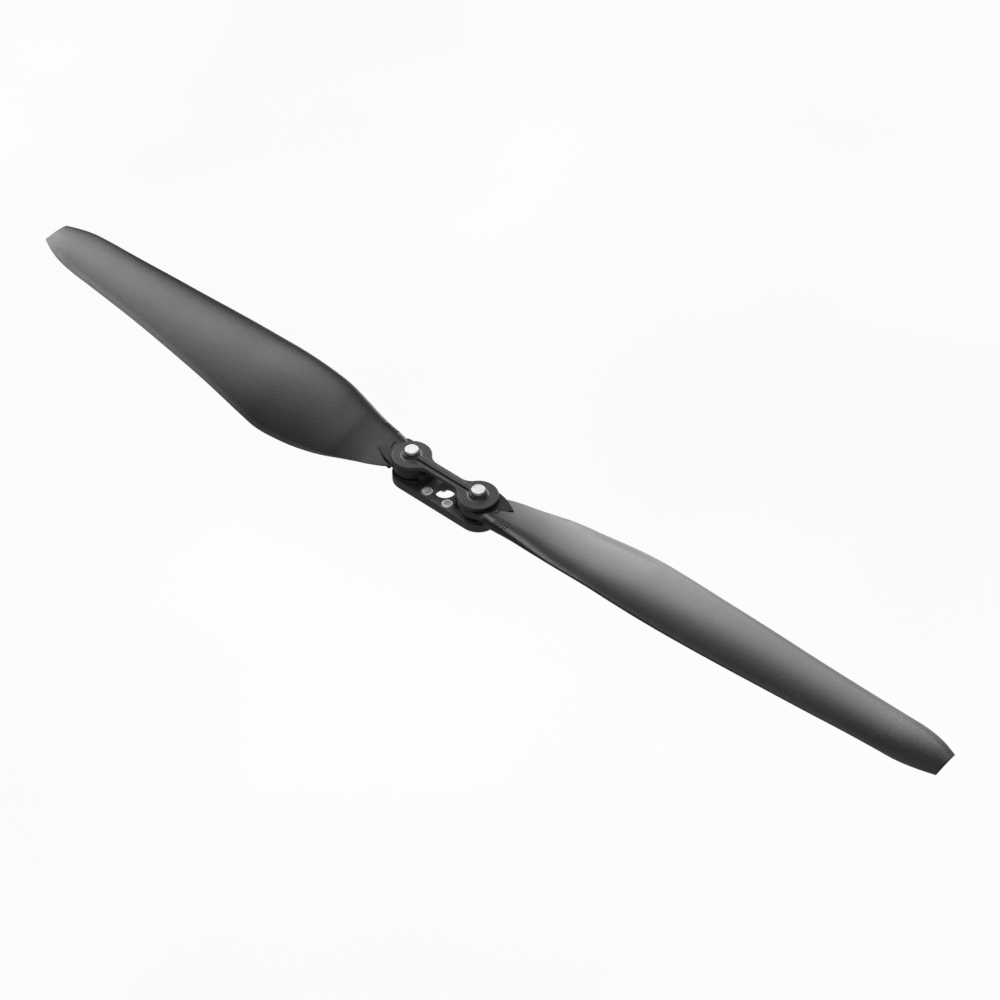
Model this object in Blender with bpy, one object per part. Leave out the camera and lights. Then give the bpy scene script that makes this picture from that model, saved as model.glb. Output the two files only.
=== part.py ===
"""Two-blade folding propeller, 21 inch class, for a large multirotor.

A stadium-shaped base plate bolts to the motor. Each blade has an eye that turns on a shoulder pin
between the base plate and a dog-bone bridge plate, so both blades swing freely and centrifugal load
straightens them out.

World frame: metres, +Z is the thrust direction, +X runs out along blade_a, and the origin is on the
rotation axis at half the overall height. Heights below are written from the base plate's underside, in
millimetres like all other sizes, and MID_Z takes them to the world frame.
"""

import math

import bpy
import bmesh
import numpy as np
from mathutils import Vector

for old in list(bpy.data.objects):
    bpy.data.objects.remove(old, do_unlink=True)

MM = 0.001

# ---------------------------------------------------------------- driving dimensions (mm)
MID_Z = 9.34             # half the overall height, above the base plate's underside
TIP_R = 266.7            # half of the 533.4 mm (21 inch) diameter
PIVOT = 20.4             # fold axis to rotation axis

BASE_R = 9.5             # end radius and half width of the base plate
BASE_T = 4.6
BASE_EDGE = (0.2, 0.45)
BORE_R = 4.9
SEAT_R = 8.6             # raised seat under each blade eye
SEAT_Z = 5.3
POST_TOP = 9.5           # stop posts between eye and bore
POST_X = (9.8, 13.4)
POST_Y = 4.5

SCREW_X, SCREW_Y = 6.2, 5.65
SCREW_HEAD_R, SCREW_HEAD_H = 2.75, 3.0
SCREW_R = 1.5
SCREW_LEN = 5.0
CBORE_R = 2.95
SCREW_SEAT_Z = 1.6

BRIDGE_R = 9.45
BRIDGE_Z = (12.84, 14.84)
BRIDGE_HALF = 3.25       # half width of the bar between the rings
BRIDGE_FILLET = 7.0      # concave radius where bar meets ring
BRIDGE_EDGE = (0.2, 0.45)
RIB_TOP = 16.0
BOSS_TOP = 16.2
RIB_HALF = (2.1, 1.2)    # half width at the foot and at the top
BOSS_R = (5.75, 4.0)

PIN_R = 2.5              # shoulder
PIN_THREAD_R = 2.0
PIN_HEAD_R = 3.15
PIN_HEAD_Z = (16.68, 18.3)
PIN_BORE_R = 2.58
WASHER_R, WASHER_Z = 2.95, (16.28, 16.58)

EYE_R = 9.3
EYE_LOW_R = 8.6
EYE_FOOT_R = 7.4
EYE_Z = (5.95, 7.1, 12.68)
POST_CLEAR_Z = 9.75      # the eye and the root are wider above this, clear of the posts
FLAT_Z = 12.56           # flat on the root outside the bridge ring
GROOVE_R = 10.35         # raised blade surface starts outside this radius from the pivot
BUSH_R = 3.3

NUT_R = 3.9
NUT_Z = (0.35, 2.45)
POCKET_R = 4.3
POCKET_Z = 2.6

# Blade design table: radius, chord, pitch angle (deg), leading edge offset y, leading edge height z,
# greatest thickness.
BLADE = (
    (24.0, 14.4, 0.0, -7.1, 10.0, 5.4),
    (30.0, 20.1, 2.5, -9.5, 10.2, 6.2),
    (36.0, 24.0, 6.2, -10.7, 11.2, 5.9),
    (42.0, 26.8, 9.3, -11.3, 12.25, 5.4),
    (48.0, 30.0, 11.7, -12.0, 13.35, 4.9),
    (60.0, 36.8, 15.2, -13.7, 15.7, 4.4),
    (72.0, 41.7, 17.8, -15.1, 17.9, 4.2),
    (84.0, 44.6, 18.3, -15.8, 19.1, 4.1),
    (96.0, 46.0, 17.9, -16.2, 19.8, 4.0),
    (108.0, 45.0, 16.1, -16.5, 19.9, 3.8),
    (120.0, 43.2, 14.3, -16.5, 19.7, 3.6),
    (138.0, 40.4, 12.4, -16.2, 19.7, 3.2),
    (156.0, 37.7, 11.0, -15.5, 19.8, 2.9),
    (174.0, 34.9, 9.9, -14.6, 20.0, 2.6),
    (192.0, 32.3, 9.5, -13.7, 20.4, 2.35),
    (210.0, 29.9, 9.0, -12.7, 20.7, 2.1),
    (228.0, 27.7, 8.8, -11.7, 21.2, 1.9),
    (240.0, 26.4, 8.2, -11.2, 21.4, 1.75),
    (252.0, 23.8, 5.3, -10.3, 21.2, 1.55),
    (260.0, 19.4, 3.2, -8.4, 21.0, 1.3),
    (TIP_R, 14.2, 2.4, -6.2, 20.8, 1.0),
)
CAMBER = 0.035
NOSE_R = (44.0, 80.0)    # the blunt moulded nose of the root runs out into the aerofoil between these radii
NOSE_BACK = 1.1          # the blunt nose starts this far behind the thin one


# ---------------------------------------------------------------- helpers
def material(name, colour, rough, metal=0.0):
    mat = bpy.data.materials.new(name)
    mat.use_nodes = True
    bsdf = mat.node_tree.nodes["Principled BSDF"]
    bsdf.inputs["Base Color"].default_value = (*colour, 1.0)
    bsdf.inputs["Roughness"].default_value = rough
    bsdf.inputs["Metallic"].default_value = metal
    mat.diffuse_color = (*colour, 1.0)
    return mat


def finish(name, bm, mat, origin=(0.0, 0.0, 0.0)):
    """Turns a bmesh in millimetres into an object in metres whose origin sits at the given point."""
    bmesh.ops.recalc_face_normals(bm, faces=bm.faces)
    for vert in bm.verts:
        vert.co = (vert.co - Vector(origin)) * MM
    mesh = bpy.data.meshes.new(name)
    bm.to_mesh(mesh)
    bm.free()
    mesh.shade_smooth()
    mesh.set_sharp_from_angle(angle=math.radians(32))
    obj = bpy.data.objects.new(name, mesh)
    obj.location = (Vector(origin) - Vector((0.0, 0.0, MID_Z))) * MM
    if mat:
        mesh.materials.append(mat)
    bpy.context.scene.collection.objects.link(obj)
    return obj


def lathe(name, profile, mat=None, at=(0.0, 0.0), steps=48, origin=(0.0, 0.0, 0.0), turn=0.0):
    """Revolves a (radius, z) profile about the vertical axis through at.

    A profile that starts and ends on the axis gets flat end caps; any other profile is a closed ring.
    """
    bm = bmesh.new()
    solid = profile[0][0] < 1e-6
    points = profile[1:-1] if solid else profile
    rings = []
    for r, z in points:
        ring = []
        for k in range(steps):
            a = 2 * math.pi * (k + turn) / steps
            ring.append(bm.verts.new((at[0] + r * math.cos(a), at[1] + r * math.sin(a), z)))
        rings.append(ring)
    pairs = list(zip(rings, rings[1:]))
    if not solid:
        pairs.append((rings[-1], rings[0]))
    for low, high in pairs:
        for k in range(steps):
            m = (k + 1) % steps
            bm.faces.new((low[k], low[m], high[m], high[k]))
    if solid:
        bm.faces.new(list(reversed(rings[0])))
        bm.faces.new(rings[-1])
    return finish(name, bm, mat, origin)


def stack(name, outlines, mat=None, origin=(0.0, 0.0, 0.0)):
    """Joins closed outlines of equal count, given as (points, z), and caps both ends."""
    bm = bmesh.new()
    rings = [[bm.verts.new((x, y, z)) for x, y in points] for points, z in outlines]
    count = len(rings[0])
    for low, high in zip(rings, rings[1:]):
        for k in range(count):
            m = (k + 1) % count
            bm.faces.new((low[k], low[m], high[m], high[k]))
    bm.faces.new(list(reversed(rings[0])))
    bm.faces.new(rings[-1])
    return finish(name, bm, mat, origin)


def combine(obj, other, operation):
    """Live exact Boolean; the operand stays in the file as a hidden wire helper."""
    mod = obj.modifiers.new(operation.lower(), "BOOLEAN")
    mod.operation = operation
    mod.solver = "EXACT"
    mod.object = other
    other.hide_render = True
    other.display_type = "WIRE"
    return obj


def cut(obj, other):
    return combine(obj, other, "DIFFERENCE")


def join(obj, other):
    return combine(obj, other, "UNION")


def arc(cx, cy, r, a0, a1, steps):
    return [
        (cx + r * math.cos(math.radians(a0 + (a1 - a0) * k / steps)),
         cy + r * math.sin(math.radians(a0 + (a1 - a0) * k / steps)))
        for k in range(steps + 1)
    ]


def stadium(inset, steps=20):
    r = BASE_R - inset
    return arc(PIVOT, 0, r, -90, 90, steps) + arc(-PIVOT, 0, r, 90, 270, steps)


def dog_bone(inset, steps=24, fillet_steps=5):
    """Two rings joined by a bar, with concave fillets; inset moves the outline inwards."""
    r, half, fil = BRIDGE_R - inset, BRIDGE_HALF - inset, BRIDGE_FILLET + inset
    cy = half + fil
    dx = math.sqrt((r + fil) ** 2 - cy ** 2)
    cx = PIVOT - dx
    lean = math.degrees(math.atan2(cy, dx))
    right = arc(PIVOT, 0, r, -(180 - lean), 180 - lean, steps)
    upper_r = arc(cx, cy, fil, -lean, -90, fillet_steps)
    upper_l = arc(-cx, cy, fil, -90, -(180 - lean), fillet_steps)
    half_turn = right + upper_r[1:] + upper_l[:-1]
    return half_turn + [(-x, -y) for x, y in half_turn]


def rounded(z0, z1, low, high, outline):
    """Outlines for a plate with quarter-round bottom and top edges of the given radii."""
    rows = []
    for t in (0.0, 0.5, 1.0):
        a = math.radians(90 * t)
        rows.append((outline(low * (1 - math.sin(a))), z0 + low * (1 - math.cos(a))))
    for t in (1.0, 0.5, 0.0):
        a = math.radians(90 * t)
        rows.append((outline(high * (1 - math.sin(a))), z1 - high * (1 - math.cos(a))))
    return rows


def cylinder(name, r, z0, z1, at, steps=32):
    """Plain cutter, turned a little so that its facets never line up with a neighbour's."""
    return lathe(name, [(0, z0), (r, z0), (r, z1), (0, z1)], at=at, steps=steps, turn=0.37)


# ---------------------------------------------------------------- materials
plate_black = material("plate_black", (0.022, 0.022, 0.024), 0.5)
blade_black = material("blade_black", (0.030, 0.030, 0.032), 0.45)
steel = material("polished_steel", (0.74, 0.74, 0.75), 0.18, 1.0)
screw_steel = material("screw_steel", (0.62, 0.62, 0.63), 0.28, 1.0)
nut_steel = material("nut_steel", (0.45, 0.45, 0.46), 0.35, 1.0)
bronze = material("bushing_bronze", (0.50, 0.34, 0.16), 0.38, 1.0)
slip = material("slip_plastic", (0.035, 0.034, 0.033), 0.45)

PIVOTS = {"a": (PIVOT, 0.0), "b": (-PIVOT, 0.0)}
SIGN = {"a": 1.0, "b": -1.0}


# ---------------------------------------------------------------- base plate
base = stack("base_plate", rounded(0.0, BASE_T, *BASE_EDGE, stadium), plate_black)
for tag, at in PIVOTS.items():
    seat = lathe(
        "cutter_seat_" + tag,
        [(0, BASE_T - 1.0), (SEAT_R, BASE_T - 1.0), (SEAT_R, SEAT_Z - 0.2), (SEAT_R - 0.2, SEAT_Z), (0, SEAT_Z)],
        at=at, steps=40)
    join(base, seat)
for tag, at in PIVOTS.items():
    s = SIGN[tag]
    x0, x1 = POST_X
    block = stack("cutter_post_" + tag, [
        ([(s * x0, -s * POST_Y), (s * x1, -s * POST_Y), (s * x1, s * POST_Y), (s * x0, s * POST_Y)], z)
        for z in (BASE_T - 1.2, POST_TOP)])
    cut(block, cylinder("cutter_eye_room_" + tag, 8.85, BASE_T - 2.0, POST_TOP + 1, at, steps=48))
    join(base, block)
cut(base, cylinder("cutter_bore", BORE_R, -2, POST_TOP + 2, (0, 0), steps=40))
for tag, at in PIVOTS.items():
    cut(base, cylinder("cutter_thread_" + tag, PIN_THREAD_R + 0.1, -2, SEAT_Z + 2, at, steps=20))
    cut(base, cylinder("cutter_pocket_" + tag, POCKET_R, -2, POCKET_Z, at, steps=24))
SCREWS = [(SCREW_X, SCREW_Y), (-SCREW_X, SCREW_Y), (-SCREW_X, -SCREW_Y), (SCREW_X, -SCREW_Y)]
for i, at in enumerate(SCREWS, 1):
    cut(base, cylinder("cutter_screw_%d" % i, 1.65, -2, SCREW_SEAT_Z + 1, at, steps=16))
    cut(base, cylinder("cutter_cbore_%d" % i, CBORE_R, SCREW_SEAT_Z - 0.05, POST_TOP + 2, at, steps=24))


# ---------------------------------------------------------------- bridge plate
bridge = stack("bridge_plate", rounded(*BRIDGE_Z, *BRIDGE_EDGE, dog_bone), plate_black)
foot, top = RIB_HALF
rib_x = PIVOT - 1.5
rib = stack("cutter_rib", [
    ([(-rib_x, -w), (rib_x, -w), (rib_x, w), (-rib_x, w)], z)
    for w, z in ((foot + 0.35, BRIDGE_Z[1] - 0.5), (foot, BRIDGE_Z[1] - 0.02), (top, RIB_TOP))])
join(bridge, rib)
for tag, at in PIVOTS.items():
    r0, r1 = BOSS_R
    top_z = BRIDGE_Z[1]
    rise = BOSS_TOP - top_z
    flare = []
    for t in (0.0, 0.33, 0.67, 1.0):
        a = math.radians(90 * t)
        flare.append((r0 - (r0 - r1) * math.sin(a), top_z + rise * 0.92 * (1 - math.cos(a))))
    profile = [(0, top_z - 0.8), (r0 + 0.2, top_z - 0.8), (r0 + 0.1, top_z - 0.05)] + flare[1:]
    profile += [(r1, BOSS_TOP - 0.07), (r1 - 0.15, BOSS_TOP), (0, BOSS_TOP)]
    join(bridge, lathe("cutter_boss_" + tag, profile, at=at, steps=32))
for tag, at in PIVOTS.items():
    cut(bridge, cylinder("cutter_pin_" + tag, PIN_BORE_R, 10, 20, at, steps=24))


# ---------------------------------------------------------------- blades
def blend(r):
    """Design values at radius r, smooth between the table's stations."""
    table = np.array(BLADE)
    xs = table[:, 0]
    slopes = np.gradient(table[:, 1:], xs, axis=0)
    i = int(np.clip(np.searchsorted(xs, r) - 1, 0, len(xs) - 2))
    h = xs[i + 1] - xs[i]
    t = (r - xs[i]) / h
    return (
        (2 * t**3 - 3 * t**2 + 1) * table[i, 1:] + (t**3 - 2 * t**2 + t) * h * slopes[i]
        + (3 * t**2 - 2 * t**3) * table[i + 1, 1:] + (t**3 - t**2) * h * slopes[i + 1]
    )


def section(r, around=14):
    """Closed aerofoil outline at radius r as (y, z), leading edge towards -y."""
    chord, pitch, le_y, le_z, thick = blend(r)
    blunt_nose = 1.0 - min(1.0, max(0.0, (r - NOSE_R[0]) / (NOSE_R[1] - NOSE_R[0])))
    blunt_nose = blunt_nose**2 * (3 - 2 * blunt_nose)
    chord -= NOSE_BACK * blunt_nose
    le_y += NOSE_BACK * blunt_nose
    share = thick / chord
    camber = CAMBER * min(1.0, max(0.0, (r - 30) / 25))
    xs = [0.5 * (1 - math.cos(math.pi * k / around)) for k in range(around + 1)]
    shape = [5 * share * (0.2969 * math.sqrt(x) - 0.126 * x - 0.3516 * x**2 + 0.2843 * x**3 - 0.1015 * x**4)
             for x in xs]
    # Near the root the nose is a blunt quarter and the back a nearly straight slope.
    for k, x in enumerate(xs):
        u = 1.0 - min(1.0, x / 0.22)
        q = max(0.0, (x - 0.22) / 0.78)
        slab = 0.5 * share * (1.0 - u**2.8) ** (1 / 2.8) * (1.0 - 0.9 * (0.5 * q + 0.5 * q * q))
        shape[k] = (1 - blunt_nose) * shape[k] + blunt_nose * slab
    # The trailing edge keeps a real thickness of about half a millimetre.
    blunt = 0.26 / chord
    half = [max(s, blunt * x) for s, x in zip(shape, xs)]
    mean = [4 * camber * x * (1 - x) for x in xs]
    upper = [(x, m + h) for x, m, h in zip(xs, mean, half)]
    lower = [(x, m - h) for x, m, h in zip(xs, mean, half)]
    points = list(reversed(upper)) + lower[1:]
    c, s = math.cos(math.radians(pitch)), math.sin(math.radians(pitch))
    return [(le_y + chord * (x * c + t * s), le_z + chord * (-x * s + t * c)) for x, t in points]


def blade(tag):
    s = SIGN[tag]
    px, py = PIVOTS[tag]
    stations = [25, 28, 30.5, 33, 35.5, 38, 41, 45, 50, 56, 62, 69, 76, 84, 92, 100, 110, 122, 136, 152, 170,
                190, 210, 226, 236, 243, 249, 254, 258.5, 262.5, TIP_R]
    origin = (px, py, 0.0)
    bm = bmesh.new()
    rings = []
    for r in stations:
        rings.append([bm.verts.new((s * r, s * y, z)) for y, z in section(r)])
    count = len(rings[0])
    for low, high in zip(rings, rings[1:]):
        for k in range(count):
            m = (k + 1) % count
            bm.faces.new((low[k], low[m], high[m], high[k]))
    bm.faces.new(rings[0])
    bm.faces.new(list(reversed(rings[-1])))
    body = finish("blade_" + tag, bm, blade_black, origin)
    eye = lathe("cutter_eye_" + tag, [
        (0, EYE_Z[0]), (EYE_FOOT_R, EYE_Z[0]), (EYE_FOOT_R, EYE_Z[1] - 0.05), (EYE_LOW_R - 0.2, EYE_Z[1]),
        (EYE_LOW_R, EYE_Z[1] + 0.2), (EYE_LOW_R, POST_CLEAR_Z), (EYE_R, POST_CLEAR_Z + 0.15),
        (EYE_R, EYE_Z[2]), (0, EYE_Z[2])], at=(px, py), steps=44)
    # The flat of the root runs on from the eye as a pointed fin along the trailing side.
    fin = [(-1.5, -8.6), (6.0, -9.0), (9.5, -8.9), (10.8, -8.3), (12.6, -4.0), (13.6, 0.5), (17.4, 4.35), (16.2, 4.95),
           (13.6, 6.3), (10.8, 7.5), (8.0, 8.3), (5.0, 8.75), (-1.5, 8.6)]
    fin_body = stack("cutter_fin_" + tag, [
        ([(px + s * x, s * y) for x, y in fin], z) for z in (9.9, FLAT_Z)])
    # Thick neck under the flat, between the eye and the aerofoil.
    neck_low = [(1.0, -7.0), (6.0, -7.6), (9.5, -7.0), (14.5, -4.0), (14.5, 4.0), (9.5, 7.8), (6.0, 8.1), (1.0, 7.6)]
    neck_high = [(1.0, -8.4), (6.0, -8.95), (10.0, -9.05), (16.0, -7.2), (16.0, 7.2), (10.0, 8.6), (5.5, 8.7), (1.0, 8.4)]
    neck = stack("cutter_neck_" + tag, [
        ([(px + s * x, s * y) for x, y in outline], z) for outline, z in ((neck_low, EYE_Z[1] + 0.1), (neck_high, 10.1))])
    post_room = stack("cutter_postroom_" + tag, [
        ([(px - s * 14, -s * 14), (px + s * 7.0, -s * 14), (px + s * 7.0, s * 14), (px - s * 14, s * 14)], z)
        for z in (2.0, POST_CLEAR_Z)])
    groove = lathe("cutter_groove_" + tag, [(0, FLAT_Z), (GROOVE_R, FLAT_Z), (GROOVE_R, 20), (0, 20)], at=(px, py), steps=44)
    bore = lathe("cutter_eyebore_" + tag, [
        (0, 2), (BUSH_R + 0.05, 2), (BUSH_R + 0.05, EYE_Z[2] - 0.4), (7.2, EYE_Z[2] - 0.4), (7.2, 15), (0, 15)],
        at=(px, py), steps=30, turn=0.37)
    cut(body, groove)
    join(body, neck)
    cut(body, post_room)
    join(body, fin_body)
    join(body, eye)
    cut(body, bore)
    return body


for tag in "ab":
    blade(tag)


# ---------------------------------------------------------------- pins, bushings, washers, nuts
for tag, at in PIVOTS.items():
    z0, z1 = PIN_HEAD_Z
    lathe("pivot_pin_" + tag, [
        (0, 0.3), (PIN_THREAD_R - 0.35, 0.3), (PIN_THREAD_R - 0.05, 0.6), (PIN_THREAD_R - 0.05, SEAT_Z + 0.1),
        (PIN_R, SEAT_Z + 0.1), (PIN_R, z0), (PIN_HEAD_R, z0), (PIN_HEAD_R, z1 - 0.15), (PIN_HEAD_R - 0.15, z1), (0, z1)],
        steel, at, 24)
    lathe("head_washer_" + tag, [
        (PIN_R + 0.1, WASHER_Z[0]), (WASHER_R, WASHER_Z[0]), (WASHER_R, WASHER_Z[1]), (PIN_R + 0.1, WASHER_Z[1])],
        slip, at, 24)
    lathe("eye_bushing_" + tag, [
        (PIN_R + 0.08, EYE_Z[0] + 0.1), (BUSH_R, EYE_Z[0] + 0.1), (BUSH_R, EYE_Z[2] - 0.5), (PIN_R + 0.08, EYE_Z[2] - 0.5)],
        bronze, at, 20)
    lathe("lower_thrust_washer_" + tag, [
        (PIN_R + 0.1, SEAT_Z + 0.08), (7.0, SEAT_Z + 0.08), (7.0, EYE_Z[0] - 0.1), (PIN_R + 0.1, EYE_Z[0] - 0.1)],
        slip, at, 24)
    lathe("upper_thrust_washer_" + tag, [
        (PIN_R + 0.1, EYE_Z[2] - 0.32), (7.0, EYE_Z[2] - 0.32), (7.0, BRIDGE_Z[0] - 0.08), (PIN_R + 0.1, BRIDGE_Z[0] - 0.08)],
        slip, at, 24)
    # Hexagon nut, bored clear of the thread.
    hexagon = [(NUT_R * math.cos(math.radians(60 * k + 30)), NUT_R * math.sin(math.radians(60 * k + 30))) for k in range(6)]
    nut = stack("pin_nut_" + tag, [([(at[0] + x, at[1] + y) for x, y in hexagon], z) for z in NUT_Z], nut_steel)
    cut(nut, cylinder("cutter_nut_" + tag, PIN_THREAD_R + 0.05, -1, 4, at, steps=20))


# ---------------------------------------------------------------- mounting screws
for i, at in enumerate(SCREWS, 1):
    head_top = SCREW_SEAT_Z + SCREW_HEAD_H
    tip = SCREW_SEAT_Z - SCREW_LEN
    screw = lathe("mount_screw_%d" % i, [
        (0, tip), (SCREW_R - 0.4, tip), (SCREW_R - 0.05, tip + 0.4), (SCREW_R - 0.05, SCREW_SEAT_Z + 0.05),
        (SCREW_HEAD_R, SCREW_SEAT_Z + 0.05), (SCREW_HEAD_R, head_top - 0.3), (SCREW_HEAD_R - 0.3, head_top), (0, head_top)],
        screw_steel, at, 20)
    socket = [(1.44 * math.cos(math.radians(60 * k)), 1.44 * math.sin(math.radians(60 * k))) for k in range(6)]
    cut(screw, stack("cutter_socket_%d" % i, [([(at[0] + x, at[1] + y) for x, y in socket], z)
                                              for z in (head_top - 1.4, head_top + 1)]))
    cut(screw, lathe("cutter_chamfer_%d" % i, [(0, head_top - 0.9), (1.25, head_top - 0.35), (1.75, head_top + 0.15), (0, head_top + 0.15)],
                     at=at, steps=20))
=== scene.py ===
"""Two-blade folding propeller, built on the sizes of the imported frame.

The hub's length and the two open blades lie along X, blade "a" towards +X and blade "b" towards -X,
each the other turned half round about Z. The pivots stand along Z. Lengths are in millimetres, and
heights count up from the base plate's underside, unless a comment says otherwise. The camera, floor
and lights are in metres.
"""

import math

import bpy
import bmesh
import numpy as np
from mathutils import Matrix, Vector


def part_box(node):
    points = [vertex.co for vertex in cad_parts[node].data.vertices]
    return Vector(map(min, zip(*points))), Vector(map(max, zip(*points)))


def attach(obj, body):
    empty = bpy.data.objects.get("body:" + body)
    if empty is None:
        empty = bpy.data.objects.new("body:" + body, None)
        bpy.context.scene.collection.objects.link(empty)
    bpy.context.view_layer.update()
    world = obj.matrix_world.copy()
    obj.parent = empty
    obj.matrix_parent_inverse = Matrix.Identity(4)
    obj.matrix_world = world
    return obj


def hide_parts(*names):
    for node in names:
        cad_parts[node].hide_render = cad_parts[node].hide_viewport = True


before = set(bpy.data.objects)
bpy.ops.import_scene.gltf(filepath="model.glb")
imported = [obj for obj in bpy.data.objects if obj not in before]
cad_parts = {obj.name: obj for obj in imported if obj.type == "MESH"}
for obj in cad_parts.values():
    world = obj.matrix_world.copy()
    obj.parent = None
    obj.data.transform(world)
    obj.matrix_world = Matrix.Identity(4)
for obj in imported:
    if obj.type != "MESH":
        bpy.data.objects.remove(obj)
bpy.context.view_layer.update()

MM = 0.001
SCENE = bpy.context.scene

# ---------------------------------------------------------------- sizes
MID_Z = -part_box("base_plate")[0][2] * 1000  # the frame's origin, above the base plate's underside


def node_box(name):
    """A frame node's low and high corners."""
    return [(x * 1000, y * 1000, z * 1000 + MID_Z) for x, y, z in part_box(name)]


base_high = node_box("base_plate")[1]
bridge_low, bridge_high = node_box("bridge_plate")
pin_low, pin_high = node_box("pivot_pin_a")

TIP_R = node_box("blade_a")[1][0]
PIVOT = (pin_low[0] + pin_high[0]) / 2  # distance of each pivot from the hub's centre
SIDES = (("a", 1.0, (PIVOT, 0.0)), ("b", -1.0, (-PIVOT, 0.0)))  # tag, sign along X, pivot

# Base plate, with a raised seat at each pivot and two upright posts
BASE_R, BASE_T = base_high[1], 4.6
BASE_BORE_R = 4.9
SEAT_R, SEAT_Z = 8.6, 5.3
POST_TOP = base_high[2]
POST_X, POST_HALF_Y = (9.8, 13.4), 4.5
PIN_HOLE_R = 2.1
POCKET_R, POCKET_Z = 4.3, 2.6  # nut pocket in the underside

# Mounting screws
SCREW_X, SCREW_Y = 6.2, 5.65
SCREWS = [(SCREW_X, SCREW_Y), (-SCREW_X, SCREW_Y), (-SCREW_X, -SCREW_Y), (SCREW_X, -SCREW_Y)]
SCREW_HEAD_R, SCREW_HEAD_H = 2.75, 3.0
SCREW_SEAT_Z, SCREW_LEN = 1.6, 5.0
SCREW_R, SCREW_ROOT_R, SCREW_PITCH = 1.45, 1.22, 0.5
SCREW_HOLE_R = 1.65
COUNTERBORE_R = SCREW_HEAD_R + 0.2
SOCKET_R = 1.44

# Bridge plate: a dog bone carrying a raised land
BRIDGE_R = bridge_high[1]
BRIDGE_Z = (bridge_low[2], bridge_low[2] + 2.0)
BRIDGE_HALF, BRIDGE_FILLET = 3.25, 7.0
LAND_TOP = bridge_high[2]
LAND_HALF = (2.6, 1.2)  # half width of the bar at foot and crest
BOSS_R = (5.75, 4.0)    # at foot and crest
CROWN_H, CROWN_INSET = 0.24, 0.26  # rounded top edge of the land
BRIDGE_HOLE_R = 2.58

# Pins, washers, bushings and nuts
PIN_R, PIN_HEAD_R, PIN_THREAD_R = 2.5, 3.15, 1.95
PIN_HEAD_Z = (pin_high[2] - 1.62, pin_high[2])
WASHER_R, WASHER_Z = 2.95, (16.28, 16.58)
THRUST_R = 7.0
BUSH_R = 3.3
NUT_R, NUT_Z = 3.9, (0.35, 2.45)
NUT_FACE_R = 3.42  # chamfered face of the nut

# Blade eye and the flat around it
EYE_R, EYE_LOW_R, EYE_FOOT_R = 9.3, 8.6, 7.4
EYE_Z = (5.95, 7.1, 12.68)  # foot, top of the foot step, top face
POST_CLEAR_Z = 9.75
FLAT_Z = 12.56
GROOVE_R = 10.35  # the round step about the pivot where the blade face starts

# Blade stations: radius, chord, pitch in degrees, leading edge y, leading edge z, thickness
STATIONS = np.array((
    (24.0, 14.4, 0.0, -7.1, 10.0, 5.4),
    (30.0, 20.1, 2.5, -9.5, 10.2, 6.2),
    (36.0, 24.0, 6.2, -10.7, 11.2, 5.9),
    (42.0, 26.8, 9.3, -11.3, 12.25, 5.4),
    (48.0, 30.0, 11.7, -12.0, 13.35, 4.9),
    (60.0, 36.8, 15.2, -13.7, 15.7, 4.4),
    (72.0, 41.7, 17.8, -15.1, 17.9, 4.2),
    (84.0, 44.6, 18.3, -15.8, 19.1, 4.1),
    (96.0, 46.0, 17.9, -16.2, 19.8, 4.0),
    (108.0, 45.0, 16.1, -16.5, 19.9, 3.8),
    (120.0, 43.2, 14.3, -16.5, 19.7, 3.6),
    (138.0, 40.4, 12.4, -16.2, 19.7, 3.2),
    (156.0, 37.7, 11.0, -15.5, 19.8, 2.9),
    (174.0, 34.9, 9.9, -14.6, 20.0, 2.6),
    (192.0, 32.3, 9.5, -13.7, 20.4, 2.35),
    (210.0, 29.9, 9.0, -12.7, 20.7, 2.1),
    (228.0, 27.7, 8.8, -11.7, 21.2, 1.9),
    (240.0, 26.4, 8.2, -11.2, 21.4, 1.75),
    (252.0, 23.8, 5.3, -10.3, 21.2, 1.55),
    (260.0, 19.4, 3.2, -8.4, 21.0, 1.3),
    (TIP_R, 14.2, 2.4, -6.2, 20.8, 1.0),
))
CAMBER = 0.035         # share of the chord, outboard
CAMBER_R = (30, 25)    # radius where camber starts, and the run over which it grows
NOSE_R = (44.0, 80.0)  # the blunt root nose fades out between these radii
NOSE_BACK = 1.1        # how far the blunt nose is set back
NOSE_SHARE, NOSE_POWER = 0.22, 2.8  # its share of the chord, and its roundness
TRAIL_HALF = 0.26      # half thickness at the blunt trailing edge
AROUND = 44            # steps from nose to trailing edge

CUTTER_TURN = 0.37  # cutters are turned by this share of a step, so that edges do not line up
PAST = 2.0          # how far cutters run beyond a face
QUARTER = [math.radians(90 * k / 6) for k in range(7)]  # angles of a quarter round


# ---------------------------------------------------------------- mesh helpers
def skin(name, rows, origin=(0.0, 0.0, 0.0), looped=False, flip_caps=False):
    """Object over rows of equally many 3D points. End rows are capped, or joined when looped."""
    total, count = len(rows), len(rows[0])
    faces = []
    for row in range(total if looped else total - 1):
        here, there = row * count, (row + 1) % total * count
        for k in range(count):
            after = (k + 1) % count
            faces.append((here + k, here + after, there + after, there + k))
    if not looped:
        first = tuple(range(count))
        last = tuple(range((total - 1) * count, total * count))
        faces += [first, last[::-1]] if flip_caps else [first[::-1], last]
    shift = np.array(origin)
    mesh = bpy.data.meshes.new(name)
    verts = [tuple((np.array(point) - shift) * MM) for row in rows for point in row]
    mesh.from_pydata(verts, [], faces)
    bm = bmesh.new()
    bm.from_mesh(mesh)
    bmesh.ops.recalc_face_normals(bm, faces=bm.faces)
    bm.to_mesh(mesh)
    bm.free()
    obj = bpy.data.objects.new(name, mesh)
    obj.location = (Vector(origin) - Vector((0.0, 0.0, MID_Z))) * MM
    SCENE.collection.objects.link(obj)
    return obj


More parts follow.
